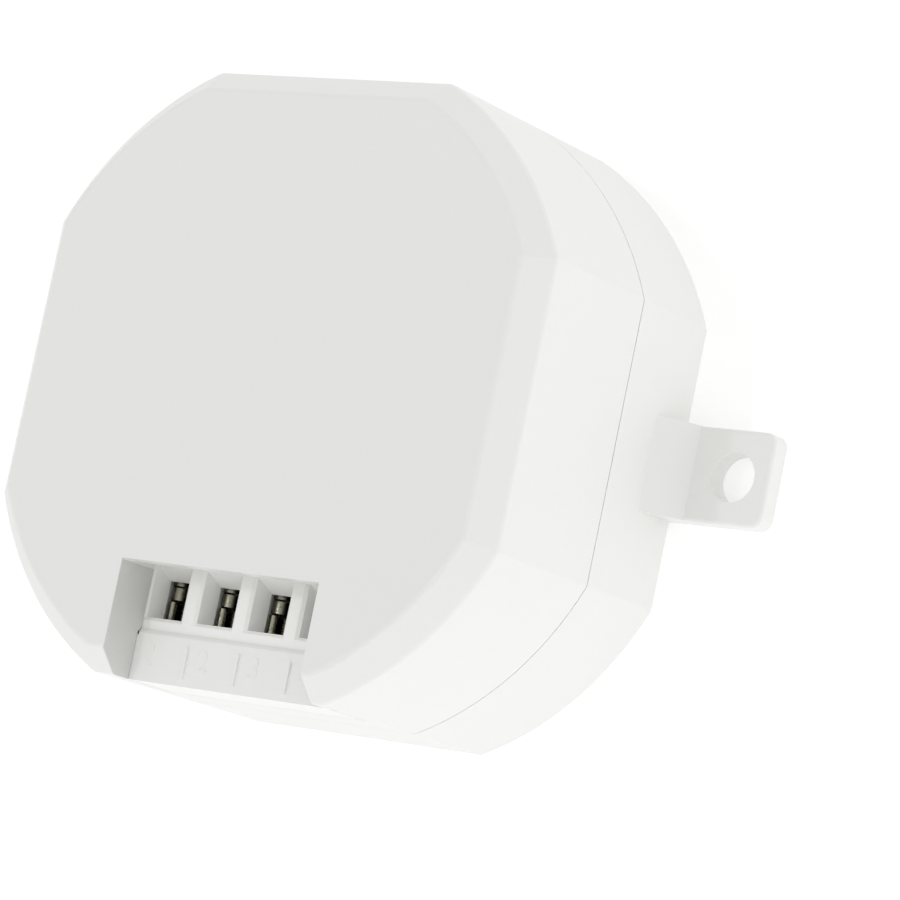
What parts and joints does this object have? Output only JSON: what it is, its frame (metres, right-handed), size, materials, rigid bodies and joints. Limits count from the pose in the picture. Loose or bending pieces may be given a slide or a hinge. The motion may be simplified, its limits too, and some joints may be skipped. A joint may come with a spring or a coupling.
{
  "type": "in-wall dimmer module",
  "caption": "Flat in-wall dimmer module with rounded square white housing, recessed screw terminals at one edge and a mounting ear with a screw hole.",
  "frame": {"origin": "centre of the mounting side, on the axis of the rounded housing", "axes": "+Z towards the terminal face, +X towards the mounting ear, -Y towards the open terminal recess"},
  "size_m": [0.0583, 0.049, 0.0242],
  "materials": {
    "housing": "fine satin",
    "block": "satin",
    "plated_steel": "nickel plated, dull",
    "tinned_brass": "tinned",
    "board_green": "solder mask",
    "film_yellow": "moulded box",
    "ferrite": "ferrite",
    "copper": "enamelled copper wire",
    "can_sleeve": "shrink sleeve over an aluminium can",
    "black_plastic": "moulded",
    "varistor_blue": "epoxy coat",
    "aluminium": "plain",
    "insulation": "thin film",
    "button_grey": "satin",
    "led": "diffused",
    "clear": "clear moulded",
    "label": "blank foil"
  },
  "bodies": {
    "housing": {"antenna_strip": "tinned_brass", "button_switch": "black_plastic", "choke_core": "ferrite", "choke_winding": "copper", "circuit_board": "board_green", "contact_bar_1": "tinned_brass", "contact_bar_2": "tinned_brass", "contact_bar_3": "tinned_brass", "contact_bar_4": "tinned_brass", "controller_chip": "black_plastic", "crystal": "aluminium", "electrolytic_capacitor": "can_sleeve", "film_capacitor": "film_yellow", "front_shell": "housing", "fuse": "black_plastic", "heat_sink": "aluminium", "insulating_sheet": "insulation", "light_pipe": "clear", "power_transistor_1": "black_plastic", "power_transistor_2": "black_plastic", "radio_board": "board_green", "radio_chip": "black_plastic", "rating_label": "label", "rear_shell": "housing", "status_led": "led", "terminal_block": "block", "transistor_screws": "plated_steel", "varistor": "varistor_blue"},
    "screw_1": {"clamp_screw_1": "plated_steel"},
    "cage_1": {"clamp_cage_1": "plated_steel"},
    "screw_2": {"clamp_screw_2": "plated_steel"},
    "cage_2": {"clamp_cage_2": "plated_steel"},
    "screw_3": {"clamp_screw_3": "plated_steel"},
    "cage_3": {"clamp_cage_3": "plated_steel"},
    "screw_4": {"clamp_screw_4": "plated_steel"},
    "cage_4": {"clamp_cage_4": "plated_steel"},
    "cover": {"terminal_cover": "housing"},
    "button": {"button_cap": "button_grey"}
  },
  "joints": [
    {"name": "screw_1_turn", "type": "hinge", "parent": "housing", "child": "screw_1", "pos_m": [-0.00747, -0.0213, 0.0164], "axis": [0, -1, 0], "range_deg": [0, 1441]},
    {"name": "cage_1_lift", "type": "slide", "parent": "housing", "child": "cage_1", "axis": [0, 1, 0], "range_m": [0, 0.0016]},
    {"name": "screw_2_turn", "type": "hinge", "parent": "housing", "child": "screw_2", "pos_m": [-0.00239, -0.0213, 0.0164], "axis": [0, -1, 0], "range_deg": [0, 1441]},
    {"name": "cage_2_lift", "type": "slide", "parent": "housing", "child": "cage_2", "axis": [0, 1, 0], "range_m": [0, 0.0016]},
    {"name": "screw_3_turn", "type": "hinge", "parent": "housing", "child": "screw_3", "pos_m": [0.00269, -0.0213, 0.0164], "axis": [0, -1, 0], "range_deg": [0, 1441]},
    {"name": "cage_3_lift", "type": "slide", "parent": "housing", "child": "cage_3", "axis": [0, 1, 0], "range_m": [0, 0.0016]},
    {"name": "screw_4_turn", "type": "hinge", "parent": "housing", "child": "screw_4", "pos_m": [0.00777, -0.0213, 0.0164], "axis": [0, -1, 0], "range_deg": [0, 1441]},
    {"name": "cage_4_lift", "type": "slide", "parent": "housing", "child": "cage_4", "axis": [0, 1, 0], "range_m": [0, 0.0016]},
    {"name": "cover_slide", "type": "slide", "parent": "housing", "child": "cover", "axis": [0, -1, 0], "range_m": [0, 0.009]},
    {"name": "button_press", "type": "slide", "parent": "housing", "child": "button", "axis": [0, 0, 1], "range_m": [0, 0.00035], "stiffness_N_per_m": 3000, "springref_m": -0.0002}
  ],
  "couplings": [
    {"joint": "screw_1_turn", "follows": "cage_1_lift", "rad_per_m": 15708},
    {"joint": "screw_2_turn", "follows": "cage_2_lift", "rad_per_m": 15708},
    {"joint": "screw_3_turn", "follows": "cage_3_lift", "rad_per_m": 15708},
    {"joint": "screw_4_turn", "follows": "cage_4_lift", "rad_per_m": 15708}
  ]
}
